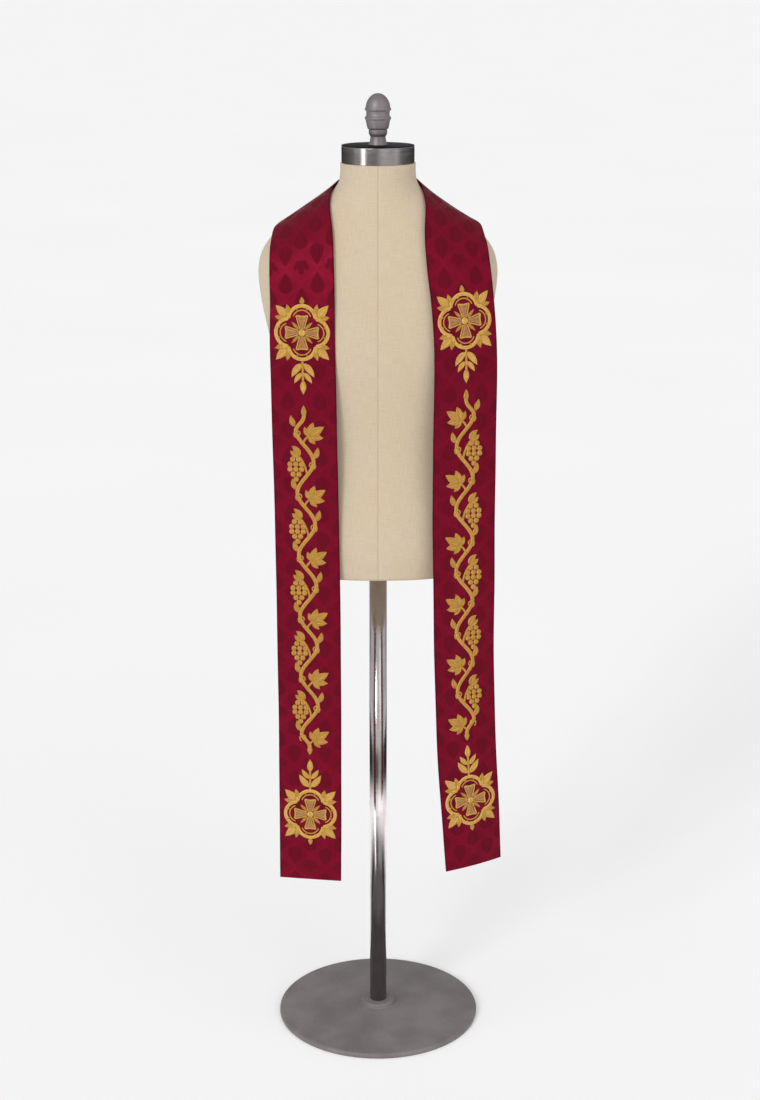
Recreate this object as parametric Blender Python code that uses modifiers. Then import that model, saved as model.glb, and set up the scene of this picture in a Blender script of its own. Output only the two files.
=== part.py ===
"""A clerical stole hung on a limbless dress form.

The stole is two straight lined bands of damask, joined by a mitred seam at the
back of the neck. Each band comes round the side of the neck, crosses the
shoulder and hangs straight down the front to a square hem. The form is a plain
torso with a steel neck band and a turned knob, on a pole with a round base.

Units are metres. +Z is up, the front faces -Y, and the origin is on the floor,
at the middle of the base's underside.
"""

import math

import bmesh
import bpy
from mathutils import Vector

# ---- driving sizes ---------------------------------------------------------

GAP = 0.0003  # between pieces that touch
SHARP_ANGLE = math.radians(40)  # edges that turn more than this stay sharp

BAND_WIDTH = 0.114
BAND_WALL = 0.0024  # damask, interfacing and lining together
BAND_STEPS_ACROSS = 6
CURVED_STEP = 0.012  # between rings where the band goes round neck and shoulder
HANGING_STEP = 0.030  # between rings where it hangs
HANGING_ROW = 9  # the row of the tables below from which a band hangs straight
SEAM_X = -0.008  # the back seam has slipped a little to one side
LOOK_ALONG = 0.002  # either way along a band, to find its direction

NECK_TOP = 1.6195
NECK_BAND_RADIUS = 0.0629
NECK_BAND_HEIGHT = 0.030
NECK_BAND_EDGE = 0.0008  # the bevel round its two rims

# The knob's dome stands on KNOB_PROFILE, which runs from the dome's foot down.
KNOB_RADIUS = 0.0229
KNOB_DOME_FOOT = 0.0600
KNOB_DOME_INSET = 0.0015
KNOB_DOME_RISE = 0.0265
KNOB_PROFILE = (  # radius, height over the neck band
    (KNOB_RADIUS, 0.0605),
    (KNOB_RADIUS - 0.0004, 0.0585),
    (KNOB_RADIUS - 0.0030, 0.0560),
    (KNOB_RADIUS - 0.0030, 0.0490),
    (KNOB_RADIUS, 0.0460),
    (KNOB_RADIUS - 0.0004, 0.0435),
    (KNOB_RADIUS - 0.0018, 0.0420),
    (0.0195, 0.0340),
    (0.0180, 0.0268),
    (0.0155, 0.0262),
    (0.0160, 0.0240),
    (0.0158, 0.0175),
    (0.0130, 0.0145),
    (0.0132, 0.0120),
    (0.0142, 0.0060),
    (0.0162, 0.0),
    (0.0, 0.0),
)

POLE_RADIUS = 0.016
BASE_RADIUS = 0.190
BASE_EDGE = 0.010  # the plate's thickness at its rim
BASE_CHAMFER = 0.001  # round its underside
BASE_BOSS_RADIUS = 0.032
BASE_BOSS_TOP = 0.024
BASE_BOSS_FOOT = 0.016
BASE_BOSS_BEVEL = 0.003

# The torso's level sections. half is its half width, front and back are its
# depths from the pole's axis, and square is the exponent of its superellipse.
TORSO_COLUMNS = ("z", "half", "front", "back", "square")
TORSO_SECTIONS = (
    (0.900, 0.171, 0.112, 0.108, 2.4),
    (0.950, 0.176, 0.118, 0.113, 2.4),
    (1.010, 0.172, 0.117, 0.110, 2.4),
    (1.080, 0.160, 0.110, 0.096, 2.5),
    (1.150, 0.156, 0.107, 0.088, 2.6),
    (1.220, 0.164, 0.112, 0.094, 2.8),
    (1.300, 0.184, 0.122, 0.107, 3.0),
    (1.370, 0.200, 0.120, 0.115, 3.0),
    (1.430, 0.208, 0.111, 0.115, 3.0),
    (1.465, 0.203, 0.102, 0.110, 2.9),
    (1.490, 0.188, 0.094, 0.103, 2.6),
    (1.510, 0.168, 0.087, 0.096, 2.4),
    (1.530, 0.144, 0.080, 0.088, 2.2),
    (1.550, 0.115, 0.073, 0.079, 2.1),
    (1.570, 0.082, 0.067, 0.071, 2.0),
    (1.585, 0.069, 0.065, 0.067, 2.0),
    (1.600, 0.0655, 0.0645, 0.065, 2.0),
    (NECK_TOP, 0.065, 0.064, 0.064, 2.0),
)
TORSO_RINGS = 32
TORSO_SIDES = 40
TORSO_CROWDING = 1.6  # above 1, the rings crowd together towards the top

# The middle of each band's underside, from behind the neck to the hem. out is
# the distance from the form's middle plane. The cloth faces heading, in degrees
# round from straight back (180) by the side (90) to straight ahead (0), and
# tilt degrees up from level. bow is how far its middle stands proud of its
# edges, in millimetres.
BAND_COLUMNS = ("out", "y", "z", "heading", "tilt", "bow")
LEFT_BAND = (
    (-0.0600, 0.0975, 1.4955, 184, 20, 0),
    (0.0080, 0.0950, 1.5150, 178, 22, 0),
    (0.0500, 0.0845, 1.5325, 165, 28, 0),
    (0.0890, 0.0610, 1.5470, 142, 41, 0),
    (0.1180, 0.0155, 1.5480, 106, 56, 0),
    (0.1300, -0.0355, 1.5315, 57, 53, 1),
    (0.1300, -0.0730, 1.4975, 24, 36, 1),
    (0.1295, -0.0960, 1.4505, 14, 20, 1),
    (0.1285, -0.1065, 1.3950, 13, 9, 1),
    (0.1290, -0.1115, 1.3300, 10, 2, 1),
    (0.1280, -0.1125, 1.2600, 9, 0, 1),
    (0.1260, -0.1125, 1.1250, 8, 0, 1),
    (0.1240, -0.1125, 0.9800, 7, 0, 1),
    (0.1225, -0.1125, 0.7500, 6, 0, 1),
    (0.1230, -0.1125, 0.5000, 6, 0, 1),
    (0.1240, -0.1125, 0.3280, 9, 0, 1),
)
RIGHT_BAND = (
    (-0.0600, 0.0975, 1.4955, 184, 20, 0),
    (-0.0080, 0.0950, 1.5150, 182, 22, 0),
    (0.0420, 0.0860, 1.5335, 167, 26, 0),
    (0.0825, 0.0640, 1.5485, 144, 38, 0),
    (0.1140, 0.0195, 1.5505, 108, 55, 0),
    (0.1285, -0.0345, 1.5355, 60, 56, -1),
    (0.1320, -0.0730, 1.5000, 25, 36, -1),
    (0.1370, -0.0945, 1.4540, 17, 20, 0),
    (0.1435, -0.1040, 1.4000, 18, 9, 1),
    (0.1490, -0.1100, 1.3300, 18, 2, 1),
    (0.1505, -0.1115, 1.2600, 16, 0, 1),
    (0.1495, -0.1120, 1.1250, 14, 0, 1),
    (0.1505, -0.1120, 0.9800, 16, 0, 1),
    (0.1535, -0.1120, 0.7600, 18, 0, 1),
    (0.1610, -0.1120, 0.5690, 20, 0, 2),
    (0.1755, -0.1120, 0.3565, 25, 0, 3),
)


# ---- curves through tables -------------------------------------------------


def smooth(keys, values, at):
    """Cubic curve through values at the rising keys, with no overshoot at the ends."""
    last = len(keys) - 1
    at = min(max(at, keys[0]), keys[last])
    i = 0
    while i < last - 1 and at > keys[i + 1]:
        i += 1

    def slope(k):
        low, high = max(k - 1, 0), min(k + 1, last)
        return (values[high] - values[low]) / (keys[high] - keys[low])

    span = keys[i + 1] - keys[i]
    t = (at - keys[i]) / span
    return (
        (2 * t**3 - 3 * t**2 + 1) * values[i]
        + (t**3 - 2 * t**2 + t) * span * slope(i)
        + (3 * t**2 - 2 * t**3) * values[i + 1]
        + (t**3 - t**2) * span * slope(i + 1)
    )


def columns(rows, names):
    """A table's rows as lists of one column each, by name."""
    return {name: [row[k] for row in rows] for k, name in enumerate(names)}


# ---- objects and materials -------------------------------------------------


def clear_scene():
    for obj in list(bpy.data.objects):
        bpy.data.objects.remove(obj, do_unlink=True)


def new_collection(name):
    collection = bpy.data.collections.new(name)
    bpy.context.scene.collection.children.link(collection)
    return collection


def new_material(name, colour, roughness, metallic=0.0):
    material = bpy.data.materials.new(name)
    material.use_nodes = True
    shader = material.node_tree.nodes["Principled BSDF"]
    shader.inputs["Base Color"].default_value = (*colour, 1.0)
    shader.inputs["Roughness"].default_value = roughness
    shader.inputs["Metallic"].default_value = metallic
    return material


def new_object(name, mesh, material, collection):
    mesh.materials.append(material)
    obj = bpy.data.objects.new(name, mesh)
    collection.objects.link(obj)
    return obj


def mesh_from(name, bm):
    bmesh.ops.recalc_face_normals(bm, faces=bm.faces)
    mesh = bpy.data.meshes.new(name)
    bm.to_mesh(mesh)
    bm.free()
    mesh.shade_smooth()
    mesh.set_sharp_from_angle(angle=SHARP_ANGLE)
    return mesh


def loft(bm, rings):
    """Skin closed rings of equally many points, and cap both ends."""
    loops = [[bm.verts.new(point) for point in ring] for ring in rings]
    count = len(loops[0])
    for low, high in zip(loops, loops[1:]):
        for k in range(count):
            nxt = (k + 1) % count
            bm.faces.new((low[k], low[nxt], high[nxt], high[k]))
    bm.faces.new(loops[0][::-1])
    bm.faces.new(loops[-1])


def turned(name, profile, material, collection, steps):
    """A solid of revolution; the profile of (radius, z) runs from top to bottom."""
    bm = bmesh.new()
    points = [bm.verts.new((radius, 0.0, z)) for radius, z in profile]
    for upper, lower in zip(points, points[1:]):
        bm.edges.new((upper, lower))
    mesh = bpy.data.meshes.new(name)
    bm.to_mesh(mesh)
    bm.free()
    obj = new_object(name, mesh, material, collection)
    screw = obj.modifiers.new("turn", "SCREW")
    screw.axis = "Z"
    screw.steps = steps
    screw.render_steps = steps
    screw.use_merge_vertices = True
    screw.merge_threshold = 0.00001
    return obj


def arc(centre, radii, start, end, count):
    """Points on an ellipse in (radius, z), from start to end degrees."""
    points = []
    for k in range(count + 1):
        angle = math.radians(start + (end - start) * k / count)
        points.append((centre[0] + radii[0] * math.cos(angle), centre[1] + radii[1] * math.sin(angle)))
    return points


# ---- the form --------------------------------------------------------------


def torso_ring(z):
    table = columns(TORSO_SECTIONS, TORSO_COLUMNS)
    half, front, back, square = (
        smooth(table["z"], table[name], z) for name in ("half", "front", "back", "square")
    )
    ring = []
    for k in range(TORSO_SIDES):
        angle = 2 * math.pi * k / TORSO_SIDES
        across, along = math.cos(angle), math.sin(angle)
        depth = back if along > 0 else front
        x = math.copysign(half * abs(across) ** (2 / square), across)
        y = math.copysign(depth * abs(along) ** (2 / square), along)
        ring.append(Vector((x, y, z)))
    return ring


def torso_heights():
    """Ring heights, closer together up the shoulders, where the sections shrink fast."""
    low, high = TORSO_SECTIONS[0][0], NECK_TOP
    heights = []
    for k in range(TORSO_RINGS + 1):
        t = k / TORSO_RINGS
        heights.append(low + (high - low) * (1 - (1 - t) ** TORSO_CROWDING))
    return heights


def make_torso(material, collection):
    bm = bmesh.new()
    loft(bm, [torso_ring(z) for z in torso_heights()])
    return new_object("form_torso", mesh_from("form_torso", bm), material, collection)


def make_neck_band(material, collection):
    low = NECK_TOP + GAP
    high = low + NECK_BAND_HEIGHT
    rim = NECK_BAND_RADIUS
    inset = rim - NECK_BAND_EDGE
    profile = [(0, high), (inset, high), (rim, high - NECK_BAND_EDGE)]
    profile += [(rim, low + NECK_BAND_EDGE), (inset, low), (0, low)]
    return turned("neck_band", profile, material, collection, 48)


def make_knob(material, collection):
    """An acorn: a domed top over two beads, a tapered cup, a collar and a flared foot."""
    foot = NECK_TOP + GAP + NECK_BAND_HEIGHT + GAP
    dome = (KNOB_RADIUS - KNOB_DOME_INSET, KNOB_DOME_RISE)
    profile = arc((0, foot + KNOB_DOME_FOOT), dome, 90, 6, 9)
    profile += [(radius, foot + height) for radius, height in KNOB_PROFILE]
    return turned("neck_knob", profile, material, collection, 32)


def make_pole(material, collection):
    low = BASE_BOSS_TOP + GAP
    high = TORSO_SECTIONS[0][0] - GAP
    bpy.ops.mesh.primitive_cylinder_add(
        vertices=24, radius=POLE_RADIUS, depth=high - low, location=(0, 0, (low + high) / 2)
    )
    pole = bpy.context.object
    pole.name = "stand_pole"
    pole.data.name = "stand_pole"
    pole.data.materials.append(material)
    pole.data.shade_smooth()
    pole.data.set_sharp_from_angle(angle=SHARP_ANGLE)
    for old in list(pole.users_collection):
        old.objects.unlink(pole)
    collection.objects.link(pole)
    return pole


def make_base(material, collection):
    """A low round plate that rises slightly to the boss under the pole."""
    rounding = BASE_EDGE / 2
    profile = [(0, BASE_BOSS_TOP), (BASE_BOSS_RADIUS - BASE_BOSS_BEVEL, BASE_BOSS_TOP)]
    profile += [(BASE_BOSS_RADIUS, BASE_BOSS_TOP - BASE_BOSS_BEVEL), (BASE_BOSS_RADIUS, BASE_BOSS_FOOT)]
    profile += arc((BASE_RADIUS - rounding, rounding), (rounding, rounding), 80, 0, 4)
    profile += [(BASE_RADIUS, BASE_CHAMFER), (BASE_RADIUS - BASE_CHAMFER, 0), (0, 0)]
    return turned("stand_base", profile, material, collection, 64)


# ---- the stole -------------------------------------------------------------


class BandPath:
    """A band's middle line, with the way it faces and the way across it."""

    def __init__(self, rows, side):
        self.side = side
        self.table = columns(rows, BAND_COLUMNS)
        self.run = [0.0]
        places = [Vector(row[:3]) for row in rows]
        for here, there in zip(places, places[1:]):
            self.run.append(self.run[-1] + (there - here).length)

    def middle(self, at):
        out, y, z = (smooth(self.run, self.table[name], at) for name in ("out", "y", "z"))
        return Vector((self.side * out, y, z))

    def facing(self, at):
        heading, tilt = (
            math.radians(smooth(self.run, self.table[name], at)) for name in ("heading", "tilt")
        )
        level = math.cos(tilt)
        return Vector((self.side * math.sin(heading) * level, -math.cos(heading) * level, math.sin(tilt)))

    def frame(self, at):
        """Place, outward direction and the direction across, away from the neck."""
        along = (self.middle(at + LOOK_ALONG) - self.middle(at - LOOK_ALONG)).normalized()
        facing = self.facing(at)
        across = facing.cross(along).normalized() * self.side
        outward = along.cross(across).normalized() * self.side
        return self.middle(at), outward, across

    def ring(self, at):
        """A closed section: the underside from the neck edge out, then the face back."""
        place, outward, across = self.frame(at)
        bow = smooth(self.run, self.table["bow"], at) / 1000
        under = []
        for k in range(BAND_STEPS_ACROSS + 1):
            part = 2 * k / BAND_STEPS_ACROSS - 1
            under.append(place + across * (part * BAND_WIDTH / 2) + outward * (bow * (1 - part * part)))
        face = [point + outward * BAND_WALL for point in reversed(under)]
        return under + face

    def stops(self):
        """Distances along the band: close round the neck and shoulder, wide below."""
        hang_from = self.run[HANGING_ROW]
        curved = math.ceil(hang_from / CURVED_STEP)
        hanging = math.ceil((self.run[-1] - hang_from) / HANGING_STEP)
        stops = [hang_from * k / curved for k in range(curved)]
        stops += [hang_from + (self.run[-1] - hang_from) * k / hanging for k in range(hanging + 1)]
        return stops


def make_band(name, rows, side, material, collection):
    path = BandPath(rows, side)
    bm = bmesh.new()
    loft(bm, [path.ring(at) for at in path.stops()])
    bmesh.ops.recalc_face_normals(bm, faces=bm.faces)
    # The mitre: what lies past the seam is cut off, and the cut is closed.
    bmesh.ops.bisect_plane(
        bm,
        geom=list(bm.verts) + list(bm.edges) + list(bm.faces),
        plane_co=(SEAM_X + side * GAP / 2, 0, 0),
        plane_no=(-side, 0, 0),
        clear_outer=True,
        dist=0.000001,
    )
    rim = [edge for edge in bm.edges if edge.is_boundary]
    bmesh.ops.holes_fill(bm, edges=rim)
    return new_object(name, mesh_from(name, bm), material, collection)


# ---- the whole -------------------------------------------------------------


def main():
    clear_scene()
    parts = new_collection("clerical_stole_on_dress_form")
    damask = new_material("crimson_damask", (0.23, 0.008, 0.026), 0.55)
    linen = new_material("cream_linen", (0.64, 0.54, 0.38), 0.9)
    steel = new_material("brushed_steel", (0.55, 0.54, 0.53), 0.32, 1.0)
    grey_paint = new_material("grey_paint", (0.24, 0.22, 0.21), 0.6)
    make_band("stole_band_left", LEFT_BAND, -1, damask, parts)
    make_band("stole_band_right", RIGHT_BAND, 1, damask, parts)
    make_torso(linen, parts)
    make_neck_band(steel, parts)
    make_knob(grey_paint, parts)
    make_pole(steel, parts)
    make_base(grey_paint, parts)


main()
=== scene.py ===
"""The looks of a clerical stole on a limbless dress form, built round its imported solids.

The cloth, the embroidery and the form's cover are fine meshes on the solids' own
shapes. Units are metres, +Z is up and the front faces -Y.
"""

import math

import bmesh
import bpy
import numpy as np
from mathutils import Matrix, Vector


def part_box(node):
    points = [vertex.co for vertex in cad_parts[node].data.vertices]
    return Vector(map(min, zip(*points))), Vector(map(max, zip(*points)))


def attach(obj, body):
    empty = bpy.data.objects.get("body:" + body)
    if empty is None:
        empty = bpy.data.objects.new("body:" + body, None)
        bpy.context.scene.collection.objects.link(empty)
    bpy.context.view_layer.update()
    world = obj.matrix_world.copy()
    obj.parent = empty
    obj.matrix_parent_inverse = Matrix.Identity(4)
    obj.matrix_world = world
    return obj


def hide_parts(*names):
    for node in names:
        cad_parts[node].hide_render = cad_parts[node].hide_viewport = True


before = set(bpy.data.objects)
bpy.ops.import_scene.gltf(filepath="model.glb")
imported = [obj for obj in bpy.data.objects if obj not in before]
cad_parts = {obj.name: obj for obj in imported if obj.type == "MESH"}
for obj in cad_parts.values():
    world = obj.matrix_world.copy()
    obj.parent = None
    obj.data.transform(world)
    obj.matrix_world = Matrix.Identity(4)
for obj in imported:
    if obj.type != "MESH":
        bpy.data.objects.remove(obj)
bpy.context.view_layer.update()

# ---- sizes shared with the solids ----

BAND_WIDTH = 0.114
BAND_WALL = 0.0024
SEAM_X = -0.008  # the mitred seam behind the neck
SEAM_GAP = 0.0003
LOOK_ALONG = 0.002  # either way along a band, to find its direction

# The middle of each band's underside, from behind the neck to the hem: its
# distance out from the form's middle plane, y and z; the way the cloth faces,
# in degrees from straight ahead (0) by the side to straight back (180); its
# tilt up from level; and how far its middle stands proud, in millimetres.
LEFT_BAND = (
    (-0.0600, 0.0975, 1.4955, 184, 20, 0),
    (0.0080, 0.0950, 1.5150, 178, 22, 0),
    (0.0500, 0.0845, 1.5325, 165, 28, 0),
    (0.0890, 0.0610, 1.5470, 142, 41, 0),
    (0.1180, 0.0155, 1.5480, 106, 56, 0),
    (0.1300, -0.0355, 1.5315, 57, 53, 1),
    (0.1300, -0.0730, 1.4975, 24, 36, 1),
    (0.1295, -0.0960, 1.4505, 14, 20, 1),
    (0.1285, -0.1065, 1.3950, 13, 9, 1),
    (0.1290, -0.1115, 1.3300, 10, 2, 1),
    (0.1280, -0.1125, 1.2600, 9, 0, 1),
    (0.1260, -0.1125, 1.1250, 8, 0, 1),
    (0.1240, -0.1125, 0.9800, 7, 0, 1),
    (0.1225, -0.1125, 0.7500, 6, 0, 1),
    (0.1230, -0.1125, 0.5000, 6, 0, 1),
    (0.1240, -0.1125, 0.3280, 9, 0, 1),
)
RIGHT_BAND = (
    (-0.0600, 0.0975, 1.4955, 184, 20, 0),
    (-0.0080, 0.0950, 1.5150, 182, 22, 0),
    (0.0420, 0.0860, 1.5335, 167, 26, 0),
    (0.0825, 0.0640, 1.5485, 144, 38, 0),
    (0.1140, 0.0195, 1.5505, 108, 55, 0),
    (0.1285, -0.0345, 1.5355, 60, 56, -1),
    (0.1320, -0.0730, 1.5000, 25, 36, -1),
    (0.1370, -0.0945, 1.4540, 17, 20, 0),
    (0.1435, -0.1040, 1.4000, 18, 9, 1),
    (0.1490, -0.1100, 1.3300, 18, 2, 1),
    (0.1505, -0.1115, 1.2600, 16, 0, 1),
    (0.1495, -0.1120, 1.1250, 14, 0, 1),
    (0.1505, -0.1120, 0.9800, 16, 0, 1),
    (0.1535, -0.1120, 0.7600, 18, 0, 1),
    (0.1610, -0.1120, 0.5690, 20, 0, 2),
    (0.1755, -0.1120, 0.3565, 25, 0, 3),
)

# The torso's level sections: z, half width, depth in front of and behind the
# pole's axis, and the exponent of the superellipse.
NECK_TOP = 1.6195
TORSO_SECTIONS = (
    (0.900, 0.171, 0.112, 0.108, 2.4),
    (0.950, 0.176, 0.118, 0.113, 2.4),
    (1.010, 0.172, 0.117, 0.110, 2.4),
    (1.080, 0.160, 0.110, 0.096, 2.5),
    (1.150, 0.156, 0.107, 0.088, 2.6),
    (1.220, 0.164, 0.112, 0.094, 2.8),
    (1.300, 0.184, 0.122, 0.107, 3.0),
    (1.370, 0.200, 0.120, 0.115, 3.0),
    (1.430, 0.208, 0.111, 0.115, 3.0),
    (1.465, 0.203, 0.102, 0.110, 2.9),
    (1.490, 0.188, 0.094, 0.103, 2.6),
    (1.510, 0.168, 0.087, 0.096, 2.4),
    (1.530, 0.144, 0.080, 0.088, 2.2),
    (1.550, 0.115, 0.073, 0.079, 2.1),
    (1.570, 0.082, 0.067, 0.071, 2.0),
    (1.585, 0.069, 0.065, 0.067, 2.0),
    (1.600, 0.0655, 0.0645, 0.065, 2.0),
    (NECK_TOP, 0.065, 0.064, 0.064, 2.0),
)


# ---- curves and meshes ----


def smooth(keys, values, at):
    """Cubic curve through values at the rising keys, read at an array of places."""
    keys, values = np.asarray(keys, float), np.asarray(values, float)
    at = np.clip(at, keys[0], keys[-1])
    low = np.clip(np.searchsorted(keys, at) - 1, 0, len(keys) - 2)
    before = np.maximum(np.arange(len(keys)) - 1, 0)
    after = np.minimum(np.arange(len(keys)) + 1, len(keys) - 1)
    slope = (values[after] - values[before]) / (keys[after] - keys[before])
    span = keys[low + 1] - keys[low]
    t = (at - keys[low]) / span
    return (
        (2 * t**3 - 3 * t**2 + 1) * values[low]
        + (t**3 - 2 * t**2 + t) * span * slope[low]
        + (3 * t**2 - 2 * t**3) * values[low + 1]
        + (t**3 - t**2) * span * slope[low + 1]
    )


def eased(x, low, high):
    """0 below low, 1 above high, and smooth between."""
    t = np.clip((x - low) / (high - low), 0, 1)
    return t * t * (3 - 2 * t)


def unit(arrows):
    return arrows / np.linalg.norm(arrows, axis=-1, keepdims=True)


def vectors(*parts):
    """Vectors from arrays of their parts."""
    return np.stack(parts, axis=-1)


def ways(angles):
    """Flat unit vectors at angles in radians."""
    return vectors(np.cos(angles), np.sin(angles))


def grid_faces(rows, columns, closed=False, start=0):
    """Quads between the points of a grid, row by row; closed joins the last column to the first."""
    faces = []
    for i in range(rows - 1):
        for j in range(columns if closed else columns - 1):
            k = (j + 1) % columns
            low, high = start + i * columns, start + (i + 1) * columns
            faces.append((low + j, low + k, high + k, high + j))
    return faces


def new_piece(name, points, faces, materials, slots=None, weave=None):
    """A smooth mesh object; weave is a vector for each point, which materials read."""
    mesh = bpy.data.meshes.new(name)
    mesh.from_pydata([tuple(point) for point in np.reshape(points, (-1, 3))], [], faces)
    for material in materials:
        mesh.materials.append(material)
    if slots is not None:
        mesh.polygons.foreach_set("material_index", slots)
    if weave is not None:
        layer = mesh.attributes.new("weave", "FLOAT_VECTOR", "POINT")
        layer.data.foreach_set("vector", np.asarray(weave, np.float32).ravel())
    mesh.shade_smooth()
    obj = bpy.data.objects.new(name, mesh)
    bpy.context.scene.collection.objects.link(obj)
    return obj


# ---- materials ----


def srgb(red, green, blue):
    """A linear colour from its display values of 0 to 255."""
    linear = []
    for value in (red, green, blue):
        value /= 255
        linear.append(value / 12.92 if value <= 0.04045 else ((value + 0.055) / 1.055) ** 2.4)
    return (*linear, 1.0)


class Nodes:
    """A node tree, with short ways to write sums, noise and bumps."""

    def __init__(self, tree):
        self.tree = tree

    def node(self, kind, inputs, **settings):
        node = self.tree.nodes.new("ShaderNode" + kind)
        for key, value in settings.items():
            setattr(node, key, value)
        for key, value in inputs.items():
            if isinstance(value, bpy.types.NodeSocket):
                self.tree.links.new(value, node.inputs[key])
            else:
                node.inputs[key].default_value = value
        return node

    def sum(self, operation, *values):
        """One Math node."""
        return self.node("Math", dict(enumerate(values)), operation=operation).outputs[0]

    def step(self, value, low, high):
        """0 below low, 1 above high and smooth between."""
        sockets = {"Value": value, "From Min": low, "From Max": high}
        return self.node("MapRange", sockets, interpolation_type="SMOOTHSTEP").outputs["Result"]

    def times(self, first, second):
        return self.sum("MULTIPLY", first, second)

    def less(self, first, second):
        return self.sum("SUBTRACT", first, second)

    def line(self, value, slope, start):
        """value times slope, plus start."""
        return self.sum("MULTIPLY_ADD", value, slope, start)

    def inverse(self, value):
        return self.less(1.0, value)

    def mix(self, share, first, second):
        """From the first colour to the second, as share goes from 0 to 1."""
        return self.node("Mix", {0: share, 6: first, 7: second}, data_type="RGBA").outputs[2]

    def weave(self):
        """The vector that a piece's points carry, whole and in its three parts, in metres."""
        vector = self.node("Attribute", {}, attribute_name="weave").outputs["Vector"]
        return vector, *self.node("SeparateXYZ", {"Vector": vector}).outputs

    def place(self):
        """Where a point is, in metres."""
        return self.node("TexCoord", {}).outputs["Object"]

    def joined(self, *parts):
        """A vector from its three parts."""
        return self.node("CombineXYZ", dict(enumerate(parts))).outputs["Vector"]

    def noise(self, vector, scale, detail=2.0):
        inputs = {"Vector": vector, "Scale": scale, "Detail": detail}
        return self.node("TexNoise", inputs).outputs["Fac"]

    def streaks(self, vector, scales, detail=3.0):
        """Noise with a scale for each axis."""
        stretched = self.node("Mapping", {"Vector": vector, "Scale": scales})
        return self.noise(stretched.outputs["Vector"], 1.0, detail)

    def threads(self, along, pitch):
        """Rounded ribs, 0 to 1, a pitch apart."""
        turn = self.times(along, math.tau / pitch)
        return self.line(self.sum("SINE", turn), 0.5, 0.5)

    def bump(self, height, depth, under=None):
        inputs = {"Height": height, "Distance": depth, "Strength": 1.0}
        if under is not None:
            inputs["Normal"] = under
        return self.node("Bump", inputs).outputs["Normal"]


class Shader(Nodes):
    """A material; fixed holds what is the same all over its surface."""

    def __init__(self, name, **fixed):
        self.material = bpy.data.materials.new(name)
        self.material.use_nodes = True
        super().__init__(self.material.node_tree)
        self.surface = self.tree.nodes["Principled BSDF"]
        for socket, value in fixed.items():
            self.surface.inputs[socket.replace("_", " ")].default_value = value

    def finish(self, **links):
        for socket, value in links.items():
            self.tree.links.new(value, self.surface.inputs[socket.replace("_", " ")])
        return self.material


DAMASK_REPEAT = (0.0560, 0.1000)  # across and along the band
DAMASK_WARP, DAMASK_WEFT = 0.0007, 0.0009  # from thread to thread
DROP_LENGTH = 0.0350
DROP_HALF = 0.0125
DROP_POINT = 1.1  # the power by which a drop widens from its tip
DROP_FULL = 2.72  # brings the widest place of that curve to 1
VEIN_SHARE = 0.14  # of a drop's width
DROP_START = 0.0055  # from the crossing of two straps to the drops' tips
FAN_START = 0.0135  # from a crossing to the root of the fan
FAN_REACH = 0.0215
FAN_PETALS = 7
STRAP_HALF = 0.0042
STRAP_BLUR = 0.0022
SOFT_EDGE = 0.0005  # half the blur along each figure's outline


def from_crossing(shader, across, along):
    """How far a point is to either side of the nearest crossing of straps, and above it."""
    wide, tall = DAMASK_REPEAT
    x = shader.sum("ABSOLUTE", shader.sum("WRAP", across, wide / 2, -wide / 2))
    return x, shader.sum("WRAP", along, tall / 2, -tall / 2)


def drop_figure(shader, x, y):
    """A drop with its tip to the crossing and a paler vein."""
    reach = shader.sum("DIVIDE", shader.less(y, DROP_START), DROP_LENGTH)
    reach = shader.sum("MINIMUM", shader.sum("MAXIMUM", reach, 0.0), 1.0)
    swell = shader.sum("SQRT", shader.inverse(reach))
    swell = shader.times(shader.sum("POWER", reach, DROP_POINT), swell)
    half = shader.times(swell, DROP_FULL * DROP_HALF)
    drop = shader.step(shader.less(half, x), 0.0, 2 * SOFT_EDGE)
    vein = shader.less(shader.times(half, VEIN_SHARE), x)
    return shader.line(shader.step(vein, 0.0, 2 * SOFT_EDGE), -0.3, drop)


def fan_figure(shader, x, y):
    """A palmette whose petals open away from the crossing."""
    rise = shader.less(y, FAN_START)
    turn = shader.sum("ARCTAN2", x, rise)
    reach = shader.sum("SQRT", shader.line(x, x, shader.times(rise, rise)))
    petals = shader.sum("ABSOLUTE", shader.sum("COSINE", shader.times(turn, FAN_PETALS / 2)))
    petals = shader.line(shader.sum("SQRT", petals), 0.62, 0.38)
    lean = shader.line(shader.sum("COSINE", turn), 0.45, 0.55)
    far = shader.times(shader.times(petals, lean), FAN_REACH)
    return shader.step(shader.less(far, reach), -SOFT_EDGE, SOFT_EDGE)


def straps(shader, x, along):
    """The waving straps that enclose each figure in a pointed oval."""
    wide, tall = DAMASK_REPEAT
    turn = shader.sum("COSINE", shader.times(along, 2 * math.tau / tall))
    oval = shader.line(turn, -wide / 4, wide / 4)
    off = shader.sum("ABSOLUTE", shader.less(x, oval))
    return shader.inverse(shader.step(off, STRAP_HALF - STRAP_BLUR, STRAP_HALF))


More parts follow.
